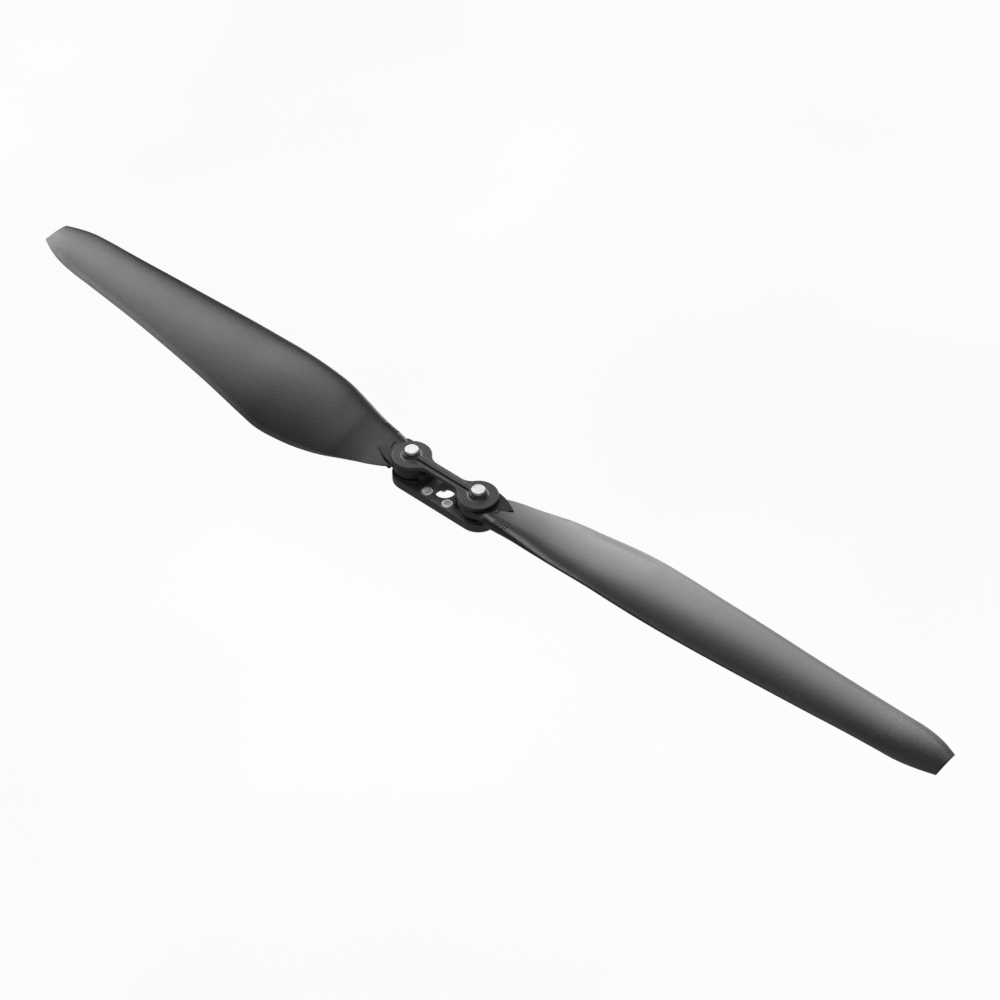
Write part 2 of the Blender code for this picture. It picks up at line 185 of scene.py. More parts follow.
def stack(name, outlines, origin=(0.0, 0.0, 0.0)):
    """Solid through level outlines of equal count, given as (points, z)."""
    return skin(name, [[(x, y, z) for x, y in points] for points, z in outlines], origin)


def rounded_path(points, steps=5):
    """Replaces each (r, z, corner radius) point by an arc of that radius."""
    path = []
    for i, point in enumerate(points):
        if len(point) < 3:
            path.append(point)
            continue
        corner = np.array(point[:2], float)
        before = np.array(points[i - 1][:2], float) - corner
        after = np.array(points[(i + 1) % len(points)][:2], float) - corner
        before_len, after_len = np.linalg.norm(before), np.linalg.norm(after)
        before, after = before / before_len, after / after_len
        half = math.acos(float(before @ after)) / 2
        run = min(point[2] / math.tan(half), before_len * 0.49, after_len * 0.49)
        radius = run * math.tan(half)
        middle = before + after
        centre = corner + middle / np.linalg.norm(middle) * (radius / math.sin(half))
        start, end = corner + before * run - centre, corner + after * run - centre
        start_angle = math.atan2(start[1], start[0])
        sweep = math.atan2(start[0] * end[1] - start[1] * end[0], float(start @ end))
        for k in range(steps + 1):
            angle = start_angle + sweep * k / steps
            path.append((centre[0] + radius * math.cos(angle),
                         centre[1] + radius * math.sin(angle)))
    return path


def lathe(name, profile, at=(0.0, 0.0), steps=96, ring=False, turn=0.0):
    """Revolves a (radius, z[, corner radius]) profile into a flat-ended solid or a closed ring."""
    if ring:
        path = rounded_path(profile)
    else:
        path = rounded_path([(0, profile[0][1]), *profile, (0, profile[-1][1])])[1:-1]
    angles = 2 * math.pi * (np.arange(steps) + turn) / steps
    cos, sin = np.cos(angles), np.sin(angles)
    rows = [[(at[0] + radius * c, at[1] + radius * s, z) for c, s in zip(cos, sin)]
            for radius, z in path]
    return skin(name, rows, (at[0], at[1], 0.0), looped=ring)


HELPERS = []  # objects used by Booleans, removed at the end


def combine(obj, other, operation):
    mod = obj.modifiers.new("boolean", "BOOLEAN")
    mod.operation = operation
    mod.solver = "EXACT"
    mod.object = other
    HELPERS.append(other)


def cut(obj, other):
    combine(obj, other, "DIFFERENCE")


def join(obj, other):
    combine(obj, other, "UNION")


def cut_turned(obj, profile, at=(0.0, 0.0), steps=96):
    cut(obj, lathe("cutter", profile, at, steps, turn=CUTTER_TURN))


def done(obj, body, material, angle=30.0):
    """Applies the Booleans, cleans and shades the mesh, and tells the frame what the piece is."""
    bpy.context.view_layer.update()
    graph = bpy.context.evaluated_depsgraph_get()
    mesh = bpy.data.meshes.new_from_object(obj.evaluated_get(graph))
    obj.modifiers.clear()
    old = obj.data
    obj.data = mesh
    bpy.data.meshes.remove(old)
    mesh.name = obj.name
    bm = bmesh.new()
    bm.from_mesh(mesh)
    bmesh.ops.remove_doubles(bm, verts=bm.verts, dist=2e-6)
    bmesh.ops.dissolve_degenerate(bm, edges=bm.edges, dist=1e-6)
    bm.to_mesh(mesh)
    bm.free()
    mesh.shade_smooth()
    mesh.set_sharp_from_angle(angle=math.radians(angle))
    mod = obj.modifiers.new("normals", "WEIGHTED_NORMAL")
    mod.keep_sharp = True
    mod.weight = 50
    mod.mode = "FACE_AREA"
    mesh.materials.clear()
    mesh.materials.append(material)
    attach(obj, body)
    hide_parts(obj.name.removesuffix("_fine"))


# ---------------------------------------------------------------- outlines
def arc(centre_x, centre_y, radius, start, end, steps):
    """Points along an arc between two angles in degrees."""
    angles = [math.radians(start + (end - start) * k / steps) for k in range(steps + 1)]
    return [(centre_x + radius * math.cos(a), centre_y + radius * math.sin(a)) for a in angles]


def stadium(inset, steps=72, straight=24):
    """Outline of the base plate: two half rounds about the pivots."""
    radius = BASE_R - inset
    right = arc(PIVOT, 0, radius, -90, 90, steps)
    left = arc(-PIVOT, 0, radius, 90, 270, steps)
    top = [(PIVOT - 2 * PIVOT * k / straight, radius) for k in range(1, straight)]
    bottom = [(-PIVOT + 2 * PIVOT * k / straight, -radius) for k in range(1, straight)]
    return right + top + left + bottom


def dog_bone(radius, half, fillet, fillet_steps, steps=96, straight=16):
    """Two rounds about the pivots joined by a bar, with concave fillets."""
    fillet_y = half + fillet
    reach = math.sqrt((radius + fillet) ** 2 - fillet_y ** 2)
    fillet_x = PIVOT - reach
    lean = math.degrees(math.atan2(fillet_y, reach))
    right = arc(PIVOT, 0, radius, -(180 - lean), 180 - lean, steps)
    upper_right = arc(fillet_x, fillet_y, fillet, -lean, -90, fillet_steps)
    bar = [(fillet_x - 2 * fillet_x * k / straight, half) for k in range(1, straight)]
    upper_left = arc(-fillet_x, fillet_y, fillet, -90, -(180 - lean), fillet_steps)
    half_outline = right + upper_right[1:] + bar + upper_left[:-1]
    return half_outline + [(-x, -y) for x, y in half_outline]


def rounded_plate(name, z_low, z_high, outline, low=0.2, high=0.45):
    """Plate with its lower and upper edges rounded; outline(inset) gives its points."""
    rows = [(outline(low * (1 - math.sin(a))), z_low + low * (1 - math.cos(a))) for a in QUARTER]
    rows += [(outline(high * (1 - math.sin(a))), z_high - high * (1 - math.cos(a)))
             for a in reversed(QUARTER)]
    return stack(name, rows)


def hexagon(radius, at, start=0):
    angles = [math.radians(60 * k + start) for k in range(6)]
    return [(at[0] + radius * math.cos(a), at[1] + radius * math.sin(a)) for a in angles]


def rectangle(x_low, x_high, half_y):
    return [(x_low, -half_y), (x_high, -half_y), (x_high, half_y), (x_low, half_y)]


def placed(points, side, start=0.0):
    """Points of side "a" turned to either side and set off from x = start."""
    return [(start + side * x, side * y) for x, y in points]


def hermite(t, start, start_slope, end, end_slope):
    return ((2 * t**3 - 3 * t**2 + 1) * start + (t**3 - 2 * t**2 + t) * start_slope
            + (3 * t**2 - 2 * t**3) * end + (t**3 - t**2) * end_slope)


def smooth_closed(points, sharp, per=6):
    """Catmull-Rom curve through closed points; the points listed in sharp keep their corner."""
    pts = np.array(points, float)
    count = len(pts)
    curve = []
    for i in range(count):
        after = (i + 1) % count
        here, there = pts[i], pts[after]
        slope = there - here if i in sharp else (there - pts[i - 1]) / 2
        next_slope = there - here if after in sharp else (pts[(i + 2) % count] - here) / 2
        curve += [tuple(hermite(k / per, here, slope, there, next_slope)) for k in range(per)]
    return curve


# ---------------------------------------------------------------- node helpers
class Net:
    """Short way to write a node tree; inputs are keyed by name or place."""

    def __init__(self, owner):
        owner.use_nodes = True
        self.owner = owner
        self.nodes = owner.node_tree.nodes
        self.links = owner.node_tree.links

    def fill(self, node, inputs):
        for key, value in inputs.items():
            socket = node.inputs[key]
            if isinstance(value, bpy.types.NodeSocket):
                self.links.new(value, socket)
            elif socket.type == "RGBA":
                socket.default_value = (*value, 1.0)
            else:
                socket.default_value = value

    def add(self, kind, inputs=None, **settings):
        node = self.nodes.new("ShaderNode" + kind)
        for key, value in settings.items():
            setattr(node, key, value)
        self.fill(node, inputs or {})
        return node

    def paint(self, inputs):
        """Fills the Principled shader and returns the material."""
        self.fill(self.nodes["Principled BSDF"], inputs)
        return self.owner

    def coords(self, scale=(1.0, 1.0, 1.0)):
        place = self.add("TexCoord").outputs["Object"]
        return self.add("Mapping", {"Scale": scale, "Vector": place}).outputs["Vector"]

    def noise(self, vector, scale, detail=2.0, rough=0.5):
        inputs = {"Vector": vector, "Scale": scale, "Detail": detail, "Roughness": rough}
        return self.add("TexNoise", inputs).outputs["Fac"]

    def remap(self, value, span, to):
        inputs = {"Value": value, "From Min": span[0], "From Max": span[1],
                  "To Min": to[0], "To Max": to[1]}
        return self.add("MapRange", inputs).outputs["Result"]

    def math(self, operation, *values):
        return self.add("Math", dict(enumerate(values)), operation=operation).outputs[0]

    def mix(self, factor, low, high):
        """Blends two colours."""
        return self.add("Mix", {0: factor, 6: low, 7: high}, data_type="RGBA").outputs[2]

    def bump(self, height, strength, distance, **normal):
        inputs = {"Strength": strength, "Distance": distance, "Height": height, **normal}
        return self.add("Bump", inputs).outputs["Normal"]

    def edges(self, radius):
        """About 0 on flat faces and up to 1 close to an outside or inside edge."""
        bevel = self.add("Bevel", {"Radius": radius * MM}, samples=4).outputs["Normal"]
        normal = self.add("NewGeometry").outputs["Normal"]
        dot = self.add("VectorMath", {0: bevel, 1: normal}, operation="DOT_PRODUCT")
        return self.remap(dot.outputs["Value"], span=(1.0, 0.86), to=(0.0, 1.0))

    def sheen_with_painted_shade(self, distance, rim=None):
        """Specular level with painted shade: lowered by ambient occlusion in narrow gaps and, with
        a rim level, on grazing faces.
        """
        gaps = self.add("AmbientOcclusion", {"Distance": distance * MM},
                        samples=6, only_local=False)
        level = self.remap(gaps.outputs["AO"], span=(0.25, 0.85), to=(0.0, 0.5))
        if rim is not None:
            facing = self.add("LayerWeight", {"Blend": 0.5}).outputs["Facing"]
            level = self.math("MULTIPLY", level,
                              self.remap(facing, span=(0.66, 0.90), to=(1.0, rim)))
        return level


def material_net(name):
    return Net(bpy.data.materials.new(name))


# ---------------------------------------------------------------- materials
def blade_plastic():
    """Fibre-filled moulded nylon: satin charcoal, fine stipple, short fibres along the span."""
    net = material_net("blade_moulded")
    place = net.coords()
    along = net.coords(scale=(0.16, 1.0, 1.0))
    stipple = net.noise(place, scale=1250.0, rough=0.6)
    cell = net.noise(place, scale=640.0, detail=1.0)
    fibre = net.noise(along, scale=2300.0, rough=0.6)
    cloud = net.noise(place, scale=34.0, detail=3.0, rough=0.55)
    wear = net.noise(place, scale=260.0, detail=3.0, rough=0.6)
    colour = net.mix(net.remap(cloud, span=(0.35, 0.68), to=(0.0, 1.0)),
                     low=(0.0165, 0.0167, 0.0172), high=(0.0225, 0.0226, 0.0232))
    colour = net.mix(net.remap(fibre, span=(0.56, 0.74), to=(0.0, 0.45)),
                     low=colour, high=(0.040, 0.040, 0.041))
    edge = net.math("MULTIPLY", net.edges(radius=0.35),
                    net.remap(wear, span=(0.45, 0.70), to=(0.0, 0.35)))
    colour = net.mix(edge, low=colour, high=(0.060, 0.060, 0.062))
    colour = net.mix(net.remap(stipple, span=(0.42, 0.60), to=(0.0, 0.5)),
                     low=colour, high=(0.010, 0.010, 0.010))
    rough = net.math("ADD", net.remap(cloud, span=(0.3, 0.7), to=(0.32, 0.36)),
                     net.remap(stipple, span=(0.3, 0.7), to=(-0.05, 0.05)))
    stipple_share, cell_share = 0.8, 0.4
    grain = net.math("ADD", net.math("MULTIPLY", stipple, stipple_share),
                     net.math("MULTIPLY", cell, cell_share))
    normal = net.bump(grain, strength=0.55, distance=0.00008)
    normal = net.bump(fibre, strength=0.12, distance=0.00004, Normal=normal)
    # The specular level carries painted shade in narrow gaps and on grazing faces.
    return net.paint({"Base Color": colour, "Roughness": rough, "IOR": 1.52, "Normal": normal,
                      "Specular IOR Level": net.sheen_with_painted_shade(distance=0.9, rim=0.08)})


def plate_plastic():
    """Bead-blasted black plate, matte, a little lighter at the edges."""
    net = material_net("hub_matte")
    place = net.coords()
    fine = net.noise(place, scale=2400.0)
    cloud = net.noise(place, scale=120.0, detail=3.0, rough=0.55)
    wear = net.noise(place, scale=420.0, detail=3.0, rough=0.6)
    colour = net.mix(net.remap(cloud, span=(0.35, 0.68), to=(0.0, 1.0)),
                     low=(0.030, 0.030, 0.031), high=(0.038, 0.038, 0.039))
    edge = net.math("MULTIPLY", net.edges(radius=0.3),
                    net.remap(wear, span=(0.40, 0.70), to=(0.10, 0.55)))
    return net.paint({
        "Base Color": net.mix(edge, low=colour, high=(0.085, 0.085, 0.087)),
        "Roughness": net.remap(cloud, span=(0.3, 0.7), to=(0.37, 0.43)),
        "IOR": 1.66,
        # Specular level lowered by ambient occlusion in narrow gaps: painted shade.
        "Specular IOR Level": net.sheen_with_painted_shade(distance=1.2),
        "Normal": net.bump(fine, strength=0.22, distance=0.00004)})


def stroke_painted_shade():
    """Painted shade for the engraved strokes: their walls and floors get the same moulding made
    darker and dull, standing in for the shade inside them.
    """
    net = material_net("blade_engraved")
    spots = net.noise(net.coords(), scale=1250.0, rough=0.6)
    colour = net.mix(net.remap(spots, span=(0.35, 0.7), to=(0.0, 1.0)),
                     low=(0.005, 0.005, 0.005), high=(0.010, 0.010, 0.010))
    return net.paint({"Base Color": colour, "Roughness": 0.8, "Specular IOR Level": 0.12})


def turned_metal(name, colour, rough, rings=5200.0, wear=0.25, metal=1.0):
    """Turned metal: fine rings (per metre) about the piece's own axis, with dull spots."""
    net = material_net(name)
    place = net.coords()
    flat = net.add("VectorMath", {0: place, 1: (1.0, 1.0, 0.0)}, operation="MULTIPLY")
    radius = net.add("VectorMath", {0: flat.outputs[0]}, operation="LENGTH").outputs["Value"]
    lines = net.math("SINE", net.math("MULTIPLY", radius, rings * 6.283))
    spots = net.noise(place, scale=900.0, detail=3.0, rough=0.6)
    dull = tuple(c * 0.72 for c in colour)
    height = net.math("ADD", net.math("MULTIPLY", lines, 0.5), net.math("MULTIPLY", spots, 0.5))
    return net.paint({
        "Base Color": net.mix(net.remap(spots, span=(0.4, 0.75), to=(0.0, wear)), colour, dull),
        "Metallic": metal,
        "Roughness": net.remap(spots, span=(0.3, 0.7), to=(rough - 0.05, rough + 0.07)),
        "Normal": net.bump(height, strength=0.08, distance=0.00003)})


def slip_plastic():
    """Dark satin plastic of the washers."""
    net = material_net("slip_washer")
    spots = net.noise(net.coords(), scale=700.0, detail=3.0, rough=0.55)
    return net.paint({
        "Base Color": net.mix(net.remap(spots, span=(0.35, 0.7), to=(0.0, 1.0)),
                              low=(0.016, 0.016, 0.016), high=(0.024, 0.024, 0.024)),
        "Roughness": net.remap(spots, span=(0.3, 0.7), to=(0.42, 0.55)),
        "Normal": net.bump(spots, strength=0.12, distance=0.00005)})


PLATE = plate_plastic()
BLADE = blade_plastic()
# The engraved strokes' dark, dull material is painted shade.
STROKE_PAINTED_SHADE = stroke_painted_shade()
PIN_STEEL = turned_metal("pin_polished", (0.99, 0.99, 0.99), rough=0.40, wear=0.12, metal=0.6)
SCREW_STEEL = turned_metal("screw_bright", (0.92, 0.92, 0.93), rough=0.42, metal=0.65)
NUT_STEEL = turned_metal("nut_zinc", (0.48, 0.48, 0.49), rough=0.36, rings=3600.0, wear=0.45)
BRONZE = turned_metal("bushing_bronze_turned", (0.50, 0.34, 0.17), rough=0.36)
SLIP = slip_plastic()


# ---------------------------------------------------------------- plates
def post(side, at):
    """Upright block with an eased top, hollowed round where the blade eye turns."""
    rows = []
    for z, inset in ((BASE_T - 1.2, 0.0), (POST_TOP - 0.25, 0.0),
                     (POST_TOP - 0.07, 0.07), (POST_TOP, 0.25)):
        outline = rectangle(POST_X[0] + inset, POST_X[1] - inset, POST_HALF_Y - inset)
        rows.append((placed(outline, side), z))
    block = stack("post", rows)
    room_r = 8.85
    cut_turned(block, [
        (room_r, BASE_T - 2), (room_r, POST_TOP - 0.2), (room_r + 0.45, POST_TOP + 0.25),
        (room_r + 0.45, POST_TOP + 1)], at, steps=144)
    return block


def base_plate():
    base = rounded_plate("base_plate_fine", 0.0, BASE_T, stadium)
    for _, _, at in SIDES:
        join(base, lathe("seat", [(SEAT_R, BASE_T - 1.0), (SEAT_R, SEAT_Z, 0.22)], at, 144))
    for _, side, at in SIDES:
        join(base, post(side, at))
    chamfer = 0.3
    wide = BASE_BORE_R + chamfer
    cut_turned(base, [
        (wide, -PAST), (wide, -0.2), (BASE_BORE_R, 0.1), (BASE_BORE_R, BASE_T - 0.12),
        (wide, BASE_T + 0.18), (wide, POST_TOP + PAST)], steps=144)
    for _, _, at in SIDES:
        cut_turned(base, [(PIN_HOLE_R, -PAST), (PIN_HOLE_R, SEAT_Z + PAST)], at, 64)
        cut_turned(base, [
            (POCKET_R + 0.45, -PAST), (POCKET_R + 0.45, -0.2), (POCKET_R, 0.25),
            (POCKET_R, POCKET_Z, 0.25)], at)
    wide = COUNTERBORE_R + chamfer
    for at in SCREWS:
        cut_turned(base, [(SCREW_HOLE_R, -PAST), (SCREW_HOLE_R, SCREW_SEAT_Z + 1)], at, 48)
        cut_turned(base, [
            (COUNTERBORE_R, SCREW_SEAT_Z - 0.05), (COUNTERBORE_R, BASE_T - 0.12),
            (wide, BASE_T + 0.18), (wide, POST_TOP + PAST)], at)
    done(base, "hub", PLATE)


def bridge_land():
    """Raised bar that flares into a boss at each pivot, with hollow flanks and a rounded crest."""
    foot, crest = LAND_HALF
    foot_r, crest_r = BOSS_R
    floor_z = BRIDGE_Z[1]
    rise = LAND_TOP - CROWN_H - floor_z
    rows = [(dog_bone(foot_r + 0.02, foot + extra, 2.6, 12), floor_z - sunk)
            for extra, sunk in ((0.2, 0.7), (0.02, 0.01))]
    for k in range(2, 15):
        angle = math.radians(90 * (k / 14))
        z = floor_z + rise * (1 - math.cos(angle))
        radius = foot_r - (foot_r - crest_r) * math.sin(angle)
        half = foot - (foot - crest) * math.sin(angle)
        rows.append((dog_bone(radius, half, 2.6 - 0.6 * (z - floor_z) / rise, 12), z))
    for k in range(1, 6):
        angle = math.radians(18 * k)
        inset = CROWN_INSET * (1 - math.cos(angle))
        rows.append((dog_bone(crest_r - inset, crest - inset, 2.0, 12),
                     LAND_TOP - CROWN_H + CROWN_H * math.sin(angle)))
    return stack("land", rows)


def bridge_plate():
    def outline(inset):
        return dog_bone(BRIDGE_R - inset, BRIDGE_HALF - inset, BRIDGE_FILLET + inset, 18)

    bridge = rounded_plate("bridge_plate_fine", *BRIDGE_Z, outline)
    join(bridge, bridge_land())
    for _, _, at in SIDES:
        cut_turned(bridge, [
            (3.3, 10), (3.3, BRIDGE_Z[0] - 0.4), (BRIDGE_HOLE_R, BRIDGE_Z[0] + 0.3),
            (BRIDGE_HOLE_R, LAND_TOP - 0.2), (2.95, LAND_TOP + 0.17), (2.95, 20)], at)
    done(bridge, "hub", PLATE)


base_plate()
bridge_plate()

# ---------------------------------------------------------------- blades
SLOPES = np.gradient(STATIONS[:, 1:], STATIONS[:, 0], axis=0)


def design(radius):
    """Chord, pitch, leading edge y and z, and thickness at a radius."""
    radii = STATIONS[:, 0]
    i = int(np.clip(np.searchsorted(radii, radius) - 1, 0, len(radii) - 2))
    gap = radii[i + 1] - radii[i]
    return hermite((radius - radii[i]) / gap, STATIONS[i, 1:], gap * SLOPES[i],
                   STATIONS[i + 1, 1:], gap * SLOPES[i + 1])


def section(radius):
    """Closed aerofoil outline as an array of (y, z), leading edge towards -y, upper face first."""
    chord, pitch, lead_y, lead_z, thick = design(radius)
    blunt = 1.0 - min(1.0, max(0.0, (radius - NOSE_R[0]) / (NOSE_R[1] - NOSE_R[0])))
    blunt = blunt**2 * (3 - 2 * blunt)
    chord -= NOSE_BACK * blunt
    lead_y += NOSE_BACK * blunt
    share = thick / chord
    camber = CAMBER * min(1.0, max(0.0, (radius - CAMBER_R[0]) / CAMBER_R[1]))
    x = 0.5 * (1 - np.cos(np.pi * np.arange(AROUND + 1) / AROUND))
    # Half thickness of the usual four-digit aerofoil
    wing = 5 * share * (0.2969 * np.sqrt(x) - 0.126 * x - 0.3516 * x**2
                        + 0.2843 * x**3 - 0.1015 * x**4)
    # Near the root the nose is a blunt quarter and the back a nearly straight slope.
    nose = 1.0 - np.minimum(1.0, x / NOSE_SHARE)
    back = np.maximum(0.0, (x - NOSE_SHARE) / (1 - NOSE_SHARE))
    slab = (0.5 * share * (1.0 - nose**NOSE_POWER) ** (1 / NOSE_POWER)
            * (1.0 - 0.9 * (0.5 * back + 0.5 * back * back)))
    half = np.maximum((1 - blunt) * wing + blunt * slab, TRAIL_HALF / chord * x)
    mean = 4 * camber * x * (1 - x)
    along = np.concatenate([x[::-1], x[1:]])
    across = np.concatenate([(mean + half)[::-1], (mean - half)[1:]])
    cos, sin = math.cos(math.radians(pitch)), math.sin(math.radians(pitch))
    return np.stack([lead_y + chord * (along * cos + across * sin),
                     lead_z + chord * (-along * sin + across * cos)], 1)


def upper_height(x, y):
    """Height of the blade's upper face at (x, y), or None outside the planform."""
    if x < STATIONS[0, 0]:
        return None
    upper = section(x)[:AROUND + 1][::-1]
    if y < upper[0, 0] or y > upper[-1, 0]:
        return None
    return float(np.interp(y, upper[:, 0], upper[:, 1]))


def blade_loft(tag, side, at):
    """The lofted blade from inside the eye to the tip, whose last ring is drawn in a little."""
    radii = [*np.arange(25.0, 60.0, 1.0), *np.arange(60.0, 236.0, 2.0),
             *np.arange(236.0, TIP_R - 0.4, 0.75), TIP_R - 0.12]
    rings = [section(radius) for radius in radii]
    last = section(TIP_R)
    centre = last.mean(0)
    rings.append(centre + (last - centre) * np.array([0.994, 0.90]))
    rows = [[(side * radius, side * y, z) for y, z in ring]
            for radius, ring in zip([*radii, TIP_R], rings)]
    return skin("blade_%s_fine" % tag, rows, (*at, 0.0), flip_caps=True)


def groove_cutter(side, start, steps=160):
    """Clears the blade face inside a round step about the pivot, leaving its top corner rounded."""
    angles = 2 * math.pi * (np.arange(steps) + CUTTER_TURN) / steps
    cos, sin = np.cos(angles), np.sin(angles)
    lowest = FLAT_Z + 0.02
    tops = np.array([max(upper_height(PIVOT + GROOVE_R * c, GROOVE_R * s) or 0.0, lowest)
                     for c, s in zip(cos, sin)])
    for _ in range(4):
        tops = (np.roll(tops, 1) + 2 * tops + np.roll(tops, -1)) / 4
    ease = np.minimum(0.5, 0.9 * (tops - FLAT_Z))
    levels = [(GROOVE_R, FLAT_Z)]
    levels += [(GROOVE_R + ease * (1 - math.cos(a)), tops - ease + ease * math.sin(a))
               for a in QUARTER]
    levels += [(GROOVE_R + ease + 0.25, tops + 0.12), (GROOVE_R + ease + 0.3, 20.0)]
    return skin("cutter", [
        np.stack([start + side * radius * cos, side * radius * sin, z + 0.0 * cos], 1)
        for radius, z in levels])


# Outlines about the eye's centre, x outboard. The shoulder is the flat plate beside the eye; the
# neck is the body below it.
SHOULDER = smooth_closed([
    (-1.5, -8.6), (6.0, -9.0), (9.5, -8.9), (10.8, -8.3), (12.6, -4.0), (13.6, 0.5),
    (17.4, 4.35), (16.2, 4.95), (13.6, 6.3), (10.8, 7.5), (8.0, 8.3), (5.0, 8.75),
    (-1.5, 8.6)], sharp=(0, 3, 5, 6, 12))
NECK_LOW = smooth_closed([
    (1.0, -7.0), (6.0, -7.6), (9.5, -7.0), (14.5, -4.0),
    (14.5, 4.0), (9.5, 7.8), (6.0, 8.1), (1.0, 7.6)], sharp=(0, 7))
NECK_HIGH = smooth_closed([
    (1.0, -8.4), (6.0, -8.95), (10.0, -9.05), (16.0, -7.2),
    (16.0, 7.2), (10.0, 8.6), (5.5, 8.7), (1.0, 8.4)], sharp=(0, 7))
POST_ROOM = rectangle(-14, 7.0, 14)  # clears the blade over the post


def engrave(body, side, points, width, depth, pieces=4):
    """Cuts a shallow stroke that follows the blade's upper face along a polyline."""
    path = []
    for start, end in zip(points, points[1:]):
        for k in range(pieces):
            path.append([a + (b - a) * (k / pieces) for a, b in zip(start, end)])
    path.append(points[-1])
    rows = []
    for i, (x, y) in enumerate(path):
        before, after = path[max(i - 1, 0)], path[min(i + 1, len(path) - 1)]
        run_x, run_y = after[0] - before[0], after[1] - before[1]
        length = math.hypot(run_x, run_y)
        wide_x, wide_y = -run_y / length * width / 2, run_x / length * width / 2
        z = upper_height(x, y) - depth
        # Shares of the half width, and rise above the stroke's floor
        rows.append([(side * (x + wide_x * share), side * (y + wide_y * share), z + rise)
                     for share, rise in ((-0.7, 0), (0.7, 0), (1.6, depth * 3), (-1.6, depth * 3))])
    cut(body, skin("cutter", rows))


def paint_shade_in_strokes(body, side, at):
    """Gives the faces of the engraved strokes the painted-shade material."""
    body.data.materials.append(STROKE_PAINTED_SHADE)
    for poly in body.data.polygons:
        x, y, z = np.array(poly.center) / MM + np.array((*at, 0.0))
        x, y = side * x, side * y
        if not (32.0 < x < 45.5 and -10.3 < y < 2.0):
            continue
        if math.hypot(x - PIVOT, y) < GROOVE_R + 0.55:
            continue
        top = upper_height(x, y)
        # Faces a little below the upper face, inside the strokes, get the painted shade.
        if top is not None and 0.06 < top - z < 0.6:
            poly.material_index = 1


def blade(tag, side, at):
    start = at[0]
    body = blade_loft(tag, side, at)
    cut(body, groove_cutter(side, start))
    join(body, stack("neck", [(placed(NECK_LOW, side, start), EYE_Z[1] + 0.1),
                              (placed(NECK_HIGH, side, start), 10.1)]))
    cut(body, stack("cutter", [(placed(POST_ROOM, side, start), z) for z in (2.0, POST_CLEAR_Z)]))
    join(body, stack("shoulder", [(placed(SHOULDER, side, start), z) for z in (9.9, FLAT_Z)]))
    join(body, lathe("eye", [
        (EYE_FOOT_R, EYE_Z[0], 0.15), (EYE_FOOT_R, EYE_Z[1], 0.2), (EYE_LOW_R, EYE_Z[1], 0.3),
        (EYE_LOW_R, POST_CLEAR_Z, 0.15), (EYE_R, POST_CLEAR_Z + 0.15, 0.2),
        (EYE_R, EYE_Z[2], 0.18)], at, 160))
    hole_r, recess_r = BUSH_R + 0.05, THRUST_R + 0.2
    cut_turned(body, [
        (BUSH_R + 0.3, 2), (BUSH_R + 0.3, EYE_Z[0]), (hole_r, EYE_Z[0] + 0.25),
        (hole_r, EYE_Z[2] - 0.4), (recess_r, EYE_Z[2] - 0.4), (recess_r, 15)], at)
    # A corner-shaped tick beside the eye, and a row of six strokes near the leading edge
    engrave(body, side, [(32.6, 1.0), (33.7, -2.1), (32.5, -2.3)], width=0.50, depth=0.42)
    for k in range(6):
        x, y = 36.9 + 1.35 * k, -9.3 - 0.06 * k
        low = 0.7 * (k % 2)
        engrave(body, side, [(x, y + low), (x + 0.15, y + 2.7)], width=0.62, depth=0.34)
    done(body, "blade_arm_" + tag, BLADE, angle=35.0)
    # Paints shade into the engraved strokes.
    paint_shade_in_strokes(body, side, at)


for tag, side, at in SIDES:
    blade(tag, side, at)


# ---------------------------------------------------------------- pins, washers, bushings, nuts
def pivot_pin(tag, at):
    head_low, head_high = PIN_HEAD_Z
    pin = lathe("pivot_pin_%s_fine" % tag, [
        (PIN_THREAD_R - 0.3, 0.3, 0.1), (PIN_THREAD_R, 0.6, 0.1), (PIN_THREAD_R, SEAT_Z + 0.1),
        (PIN_R, SEAT_Z + 0.1, 0.1), (PIN_R, head_low - 0.05, 0.1), (PIN_HEAD_R, head_low, 0.12),
        (PIN_HEAD_R, head_high, 0.2)], at)
    done(pin, "hub", PIN_STEEL)


def ring_piece(name, at, inner, outer, heights, corners,
               body="hub", material=SLIP):
    """Plain ring; corners are the edge radii at the bore and at the rim."""
    low, high = heights
    bore_corner, rim_corner = corners
    piece = lathe(name + "_fine", [
        (inner, low, bore_corner), (outer, low, rim_corner),
        (outer, high, rim_corner), (inner, high, bore_corner)], at, ring=True)
    done(piece, body, material)


def pin_nut(tag, at):
    """Hexagon nut whose corners are turned down by a chamfer on both faces."""
    low, high = NUT_Z
    nut = stack("pin_nut_%s_fine" % tag, [(hexagon(NUT_R, at, start=30), z) for z in NUT_Z],
                (*at, 0.0))
    shell = lathe("shell", [
        (NUT_FACE_R, low), (4.3, low + 0.45), (4.3, high - 0.45), (NUT_FACE_R, high)],
        at, turn=CUTTER_TURN)
    combine(nut, shell, "INTERSECT")
    cut_turned(nut, [(2.6, -1), (2.6, low - 0.1), (2.05, low + 0.4), (2.05, high - 0.4),
                     (2.6, high + 0.1), (2.6, 4)], at, 64)
    done(nut, "hub", NUT_STEEL)


for tag, _, at in SIDES:
    pivot_pin(tag, at)
    ring_piece("head_washer_" + tag, at, PIN_R + 0.1, WASHER_R, WASHER_Z, corners=(0.04, 0.06))
    ring_piece("eye_bushing_" + tag, at, PIN_R + 0.08, BUSH_R, (EYE_Z[0] + 0.1, EYE_Z[2] - 0.5),
               corners=(0.12, 0.12), body="blade_arm_" + tag,
               material=BRONZE)
    ring_piece("lower_thrust_washer_" + tag, at, PIN_R + 0.1, THRUST_R,
               (SEAT_Z + 0.08, EYE_Z[0] - 0.1), corners=(0.08, 0.12))
    ring_piece("upper_thrust_washer_" + tag, at, PIN_R + 0.1, THRUST_R,
               (EYE_Z[2] - 0.32, BRIDGE_Z[0] - 0.08), corners=(0.08, 0.1))
    pin_nut(tag, at)


